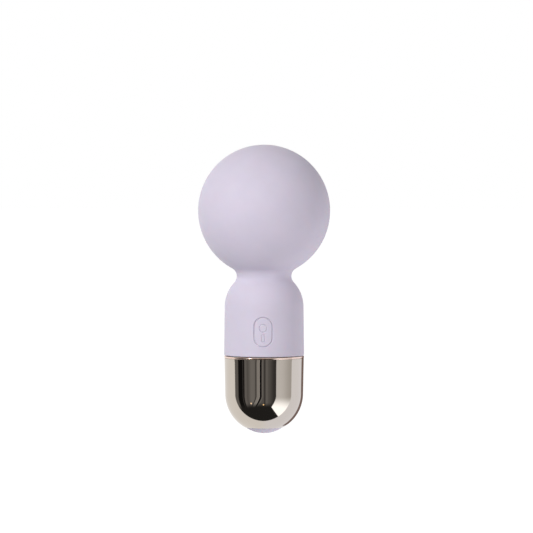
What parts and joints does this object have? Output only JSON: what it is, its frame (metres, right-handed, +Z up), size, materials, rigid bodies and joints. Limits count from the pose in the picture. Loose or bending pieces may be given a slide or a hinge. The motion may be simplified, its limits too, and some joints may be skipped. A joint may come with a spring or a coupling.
{
  "type": "handheld wand massager",
  "caption": "Compact handheld wand massager: ball head on a flexible neck, silicone skin with a thumb button, plated base cup with a charging socket under a flap.",
  "frame": {"origin": "lowest point of the base, on the wand's axis", "axes": "+Z up the wand's axis from the base to the ball head; -Y is the side the button faces; +X completes a right-handed frame, to the right of the button seen from the front"},
  "size_m": [0.048, 0.048, 0.105],
  "materials": {
    "lilac_silicone": "smooth matte lilac silicone",
    "plated_base": "mirror-bright warm plated metal",
    "rose_gold": "polished rose-gold ring",
    "white_shell": "moulded white shell plastic",
    "black_plastic": "moulded black plastic",
    "black_rubber": "soft black rubber",
    "grey_foam": "closed-cell foam",
    "zinc_steel": "zinc-plated steel",
    "nickel_tab": "nickel strip",
    "green_board": "green solder mask",
    "chip_black": "moulded chip package",
    "cell_wrap": "shrink wrap over the cell",
    "lead_red": "insulated lead",
    "magnet": "sintered magnet",
    "bronze": "sintered bronze and copper",
    "core_steel": "laminated core steel",
    "weight_metal": "pressed tungsten alloy"
  },
  "bodies": {
    "handle": {"handle_skin": "lilac_silicone", "handle_shell_front": "white_shell", "handle_shell_rear": "white_shell", "shell_screws": "zinc_steel", "neck_clamp_lower": "zinc_steel", "base_cup": "plated_base", "trim_ring": "rose_gold", "base_seal": "black_rubber", "port_insert": "black_plastic", "charging_socket": "black_plastic", "socket_pins": "nickel_tab", "main_board": "green_board", "board_screws": "zinc_steel", "tactile_switch": "black_plastic", "controller_chip": "chip_black", "board_components": "chip_black", "motor_driver": "chip_black", "battery_cell": "cell_wrap", "battery_tabs": "nickel_tab", "battery_foam": "grey_foam", "battery_leads": "lead_red", "charging_leads": "lead_red"},
    "button": {"button_pad": "lilac_silicone", "button_actuator": "black_plastic", "switch_plunger": "black_plastic"},
    "neck": {"neck_skin": "lilac_silicone", "neck_coupling": "black_rubber", "motor_leads": "lead_red"},
    "head": {"head_skin": "lilac_silicone", "head_shell_lower": "white_shell", "head_shell_upper": "white_shell", "neck_clamp_upper": "zinc_steel", "motor_cradle": "white_shell", "cradle_screws": "zinc_steel", "damping_sleeve": "black_rubber", "motor_can": "zinc_steel", "motor_end_bell": "black_plastic", "motor_magnets": "magnet", "front_bush": "bronze", "rear_bush": "bronze", "motor_terminals": "nickel_tab"},
    "rotor": {"motor_shaft": "zinc_steel", "armature": "core_steel", "commutator": "bronze", "eccentric_weight": "weight_metal"},
    "flap": {"port_flap": "lilac_silicone", "flap_strap": "lilac_silicone"}
  },
  "joints": [
    {"name": "button_press", "type": "slide", "parent": "handle", "child": "button", "axis": [0, 1, 0], "range_m": [0, 0.0004], "stiffness_N_per_m": 4000},
    {"name": "neck_nod", "type": "hinge", "parent": "handle", "child": "neck", "pos_m": [0, 0, 0.0572], "axis": [1, 0, 0], "range_deg": [-10, 10], "stiffness_Nm_per_rad": 1.2, "deforming": ["neck_skin", "neck_coupling", "motor_leads"]},
    {"name": "neck_sway", "type": "hinge", "parent": "neck", "child": "head", "pos_m": [0, 0, 0.0572], "axis": [0, 1, 0], "range_deg": [-10, 10], "stiffness_Nm_per_rad": 1.2},
    {"name": "motor_spin", "type": "hinge", "parent": "head", "child": "rotor", "pos_m": [0, 0, 0.0763], "axis": [0, 0, 1], "continuous": true},
    {"name": "flap_hinge", "type": "hinge", "parent": "handle", "child": "flap", "pos_m": [0, 0.00715, 0.002], "axis": [1, 0, 0], "range_deg": [0, 110], "deforming": ["flap_strap"]}
  ]
}
